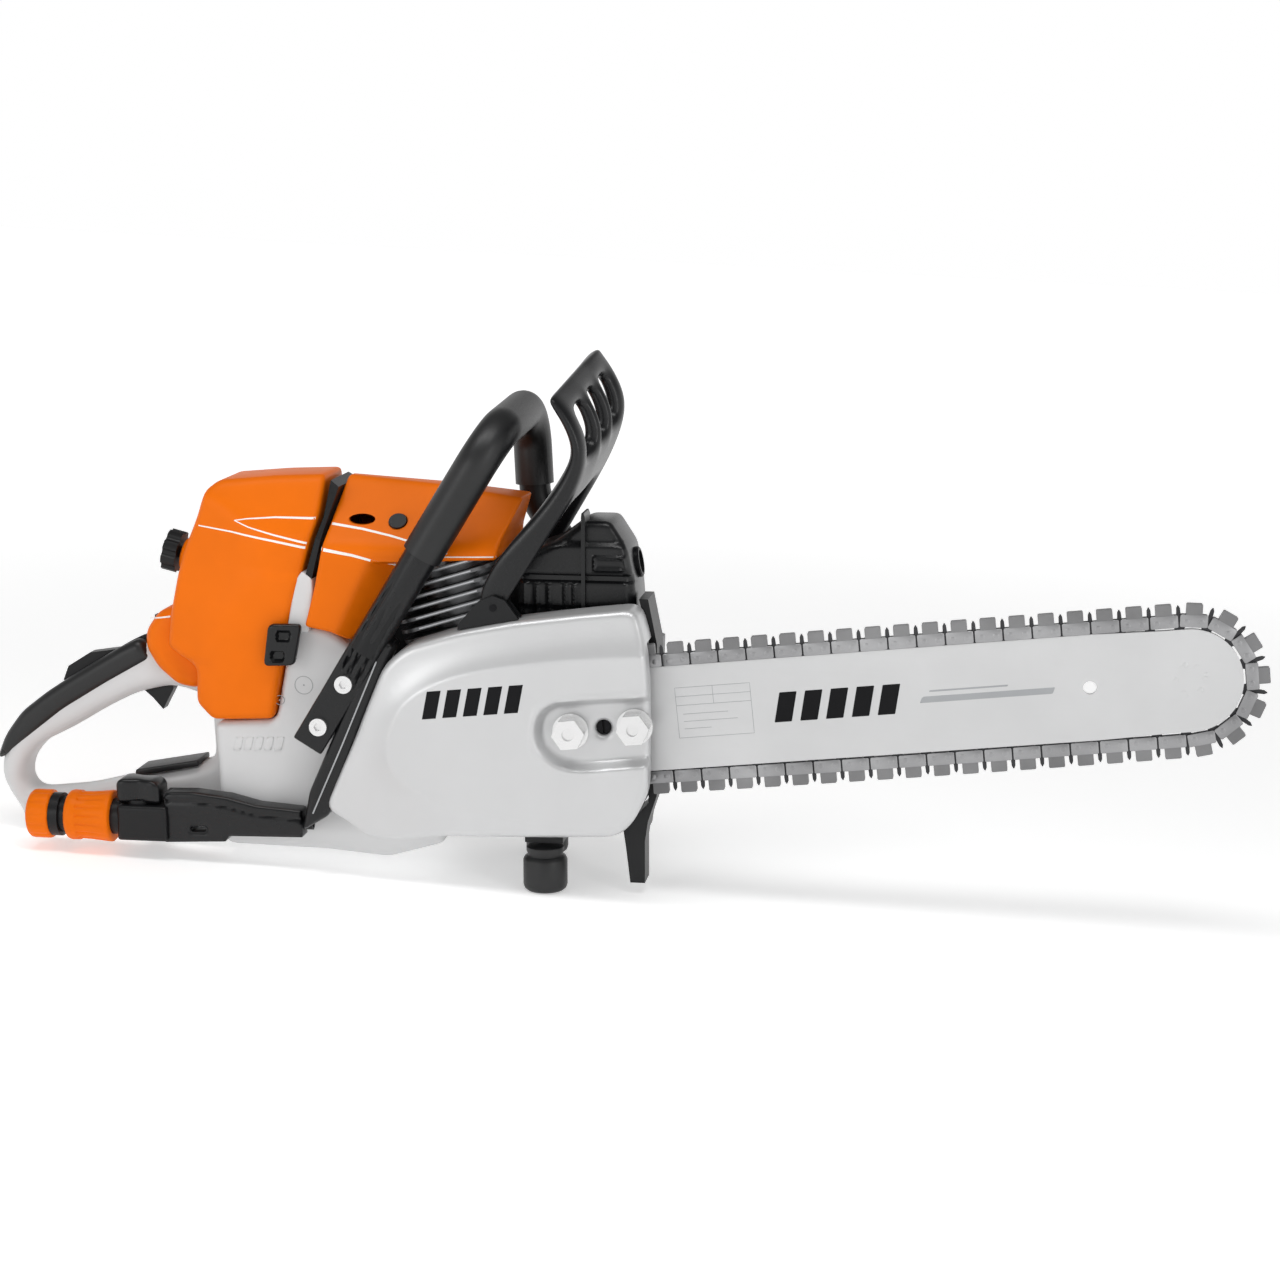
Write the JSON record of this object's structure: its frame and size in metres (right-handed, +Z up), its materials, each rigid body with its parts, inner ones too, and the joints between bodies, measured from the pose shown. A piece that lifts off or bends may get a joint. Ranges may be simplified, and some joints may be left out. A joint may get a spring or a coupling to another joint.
{
  "type": "chainsaw",
  "caption": "Petrol cut-off chainsaw for masonry with diamond chain, guide bar, front handlebar, hand guard, rear handle and water coupling.",
  "frame": {"origin": "on the floor under the middle of the saw's bounding box", "axes": "+X forward along the guide bar towards its nose, +Y to the operator's left, +Z up"},
  "size_m": [0.8673, 0.166, 0.3569],
  "materials": {
    "orange_shell": "bright orange moulded plastic",
    "light_housing": "light grey satin paint",
    "silver_cover": "silver white satin paint",
    "black_plastic": "charcoal moulded plastic",
    "grip_rubber": "black soft rubber",
    "bar_steel": "ground and satin finished",
    "chain_steel": "grey steel links",
    "segment_metal": "sintered diamond segments",
    "engine_aluminium": "cast and machined aluminium",
    "fastener_steel": "zinc plated steel",
    "machined_steel": "machined steel",
    "cord": "braided starter rope",
    "filter_felt": "pleated filter felt"
  },
  "bodies": {
    "saw": {"access_cap": "black_plastic", "air_filter": "filter_felt", "bar_studs": "fastener_steel", "brake_band": "machined_steel", "carburettor": "engine_aluminium", "coupling_core": "black_plastic", "cover_nuts": "fastener_steel", "cover_seal": "grip_rubber", "crank_bearings": "machined_steel", "crankcase": "engine_aluminium", "cylinder": "engine_aluminium", "engine_mounts": "grip_rubber", "filter_cover": "orange_shell", "front_stop": "black_plastic", "guard_brackets": "black_plastic", "guide_bar": "bar_steel", "handlebar": "black_plastic", "handlebar_grip": "grip_rubber", "hose_guide": "black_plastic", "housing_screws": "fastener_steel", "intake_box": "black_plastic", "muffler": "machined_steel", "muffler_shroud": "black_plastic", "piston": "engine_aluminium", "pivot_pins": "fastener_steel", "rear_grip": "grip_rubber", "rear_shroud": "orange_shell", "rubber_feet": "grip_rubber", "spark_plug": "machined_steel", "sprocket_cover": "silver_cover", "starter_housing": "light_housing", "tank_housing": "light_housing", "top_shroud": "orange_shell", "water_valve": "black_plastic"},
    "crank": {"crankshaft": "machined_steel", "clutch": "machined_steel", "flywheel": "machined_steel"},
    "chain_drive": {"drive_sprocket": "machined_steel", "chain_links_drive": "chain_steel"},
    "chain_top": {"chain_links_top": "chain_steel", "diamond_segments_top": "segment_metal"},
    "chain_bottom": {"chain_links_bottom": "chain_steel", "diamond_segments_bottom": "segment_metal"},
    "chain_nose": {"chain_links_nose": "chain_steel", "diamond_segments_nose": "segment_metal", "nose_sprocket": "machined_steel"},
    "hand_guard": {"hand_guard": "black_plastic"},
    "throttle_trigger": {"throttle_trigger": "black_plastic"},
    "throttle_lockout": {"throttle_lockout": "black_plastic"},
    "decompression_button": {"decompression_button": "black_plastic"},
    "master_control_lever": {"master_control_lever": "black_plastic"},
    "filter_cover_knob": {"filter_cover_knob": "black_plastic"},
    "tensioner_screw": {"tensioner_screw": "fastener_steel"},
    "fuel_cap": {"fuel_cap": "black_plastic"},
    "starter_handle": {"starter_grip": "black_plastic", "starter_rope": "cord"},
    "starter_pulley": {"starter_pulley": "black_plastic"},
    "coupling_sleeve": {"coupling_sleeve": "orange_shell"},
    "coupling_nut": {"coupling_nut": "orange_shell"},
    "water_valve_lever": {"water_valve_lever": "black_plastic"}
  },
  "joints": [
    {"name": "crank_spin", "type": "hinge", "parent": "saw", "child": "crank", "pos_m": [-0.0713, 0.003, 0.1083], "axis": [0, 1, 0], "continuous": true},
    {"name": "chain_drive_turn", "type": "hinge", "parent": "saw", "child": "chain_drive", "pos_m": [-0.0713, -0.049, 0.1083], "axis": [0, 1, 0], "range_deg": [0, 22.5]},
    {"name": "chain_top_run", "type": "slide", "parent": "saw", "child": "chain_top", "axis": [0.9889, 0, 0.1487], "range_m": [0, 0.0094]},
    {"name": "chain_bottom_run", "type": "slide", "parent": "saw", "child": "chain_bottom", "axis": [-0.9889, 0, -0.1487], "range_m": [0, 0.0094]},
    {"name": "chain_nose_turn", "type": "hinge", "parent": "saw", "child": "chain_nose", "pos_m": [0.38336, -0.049, 0.17666], "axis": [0, 1, 0], "range_deg": [0, 14]},
    {"name": "guard_tilt", "type": "hinge", "parent": "saw", "child": "hand_guard", "pos_m": [-0.07121, 0.003, 0.19439], "axis": [0, 1, 0], "range_deg": [0, 7]},
    {"name": "trigger_pull", "type": "hinge", "parent": "saw", "child": "throttle_trigger", "pos_m": [-0.31514, 0.001, 0.12125], "axis": [0, 1, 0], "range_deg": [0, 18], "stiffness_Nm_per_rad": 0.3},
    {"name": "lockout_press", "type": "hinge", "parent": "saw", "child": "throttle_lockout", "pos_m": [-0.33466, 0.001, 0.13238], "axis": [0, 1, 0], "range_deg": [-6, 0], "stiffness_Nm_per_rad": 0.4},
    {"name": "decompression_press", "type": "slide", "parent": "saw", "child": "decompression_button", "axis": [0.0321, 0.7071, -0.7064], "range_m": [0, 0.003], "stiffness_N_per_m": 400},
    {"name": "master_control", "type": "hinge", "parent": "saw", "child": "master_control_lever", "pos_m": [-0.31014, 0.019, 0.15451], "axis": [0, 1, 0], "range_deg": [-10, 22]},
    {"name": "knob_turn", "type": "hinge", "parent": "saw", "child": "filter_cover_knob", "pos_m": [-0.29795, -0.004, 0.20562], "axis": [-0.9803, 0, 0.1977], "continuous": true},
    {"name": "tensioner_turn", "type": "hinge", "parent": "saw", "child": "tensioner_screw", "pos_m": [0.00633, -0.059, 0.11997], "axis": [0, -1, 0], "continuous": true},
    {"name": "fuel_cap_turn", "type": "hinge", "parent": "saw", "child": "fuel_cap", "pos_m": [-0.19912, 0.055, 0.05745], "axis": [0, 1, 0], "range_deg": [0, 90]},
    {"name": "starter_pull", "type": "slide", "parent": "saw", "child": "starter_handle", "axis": [-0.5388, 0, 0.8424], "range_m": [0, 0.11]},
    {"name": "starter_pulley_turn", "type": "hinge", "parent": "saw", "child": "starter_pulley", "pos_m": [-0.0713, 0.075, 0.1083], "axis": [0, 1, 0], "range_deg": [-351, 0]},
    {"name": "coupling_release", "type": "slide", "parent": "saw", "child": "coupling_sleeve", "axis": [-0.999, 0, -0.0454], "range_m": [0, 0.004], "stiffness_N_per_m": 300},
    {"name": "coupling_nut_turn", "type": "hinge", "parent": "saw", "child": "coupling_nut", "pos_m": [-0.3858, -0.046, 0.02395], "axis": [-0.999, 0, -0.0454], "continuous": true},
    {"name": "water_valve_turn", "type": "hinge", "parent": "saw", "child": "water_valve_lever", "pos_m": [-0.31768, -0.046, 0.04506], "axis": [-0.0454, 0, 0.999], "range_deg": [0, 90]}
  ],
  "couplings": [
    {"joint": "chain_top_run", "follows": "chain_drive_turn", "m_per_rad": 0.023733},
    {"joint": "chain_bottom_run", "follows": "chain_drive_turn", "m_per_rad": 0.023733},
    {"joint": "chain_nose_turn", "follows": "chain_drive_turn", "ratio": 0.61538},
    {"joint": "starter_pulley_turn", "follows": "starter_pull", "rad_per_m": -55.556}
  ]
}
